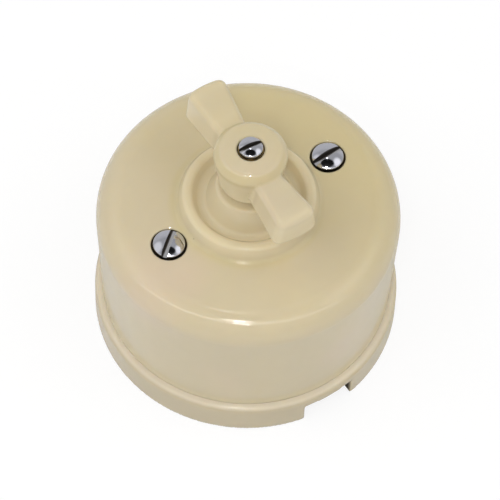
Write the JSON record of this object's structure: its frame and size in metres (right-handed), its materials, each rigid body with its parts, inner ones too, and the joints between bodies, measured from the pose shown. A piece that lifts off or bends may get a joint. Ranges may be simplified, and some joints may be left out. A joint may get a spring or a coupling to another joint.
{
  "type": "rotary switch",
  "caption": "Surface-mounted porcelain rotary light switch: round flanged base with a cable notch, domed cover with a raised collar, and a butterfly knob on a central spindle.",
  "frame": {"origin": "centre of the base's back, in the plane of its foot ring, which lies on the wall or table", "axes": "+Z out of the wall along the spindle, X through the two cover screws, -Y towards the cable notch"},
  "size_m": [0.07, 0.07, 0.0664],
  "materials": {
    "ivory_porcelain": "gloss",
    "nickel_plate": "polished",
    "bright_steel": "satin",
    "zinc_steel": "satin",
    "brass": "satin",
    "spring_bronze": "satin",
    "brown_moulding": "satin"
  },
  "bodies": {
    "switch_body": {"base": "ivory_porcelain", "cover": "ivory_porcelain", "cover_screw_left": "nickel_plate", "cover_screw_right": "nickel_plate", "cover_insert_left": "brass", "cover_insert_right": "brass", "spindle_bush": "brass", "thrust_washer": "brass", "bearing_bridge": "zinc_steel", "bridge_screw_front": "zinc_steel", "bridge_screw_back": "zinc_steel", "index_spring": "bright_steel", "contact_common": "spring_bronze", "terminal_common": "brass", "terminal_screw_common": "zinc_steel", "fixing_screw_common": "zinc_steel", "contact_way_one": "spring_bronze", "terminal_way_one": "brass", "terminal_screw_way_one": "zinc_steel", "fixing_screw_way_one": "zinc_steel", "contact_way_two": "spring_bronze", "terminal_way_two": "brass", "terminal_screw_way_two": "zinc_steel", "fixing_screw_way_two": "zinc_steel"},
    "knob_shaft": {"knob": "ivory_porcelain", "knob_washer": "brass", "knob_screw": "nickel_plate", "spindle": "bright_steel", "rotor": "brown_moulding", "rotor_contact": "brass", "index_wheel": "brown_moulding", "retaining_clip": "bright_steel"}
  },
  "joints": [
    {"name": "knob_turn", "type": "hinge", "parent": "switch_body", "child": "knob_shaft", "pos_m": [0, 0, 0], "axis": [0, 0, 1], "continuous": true, "deforming": ["index_spring"]}
  ]
}
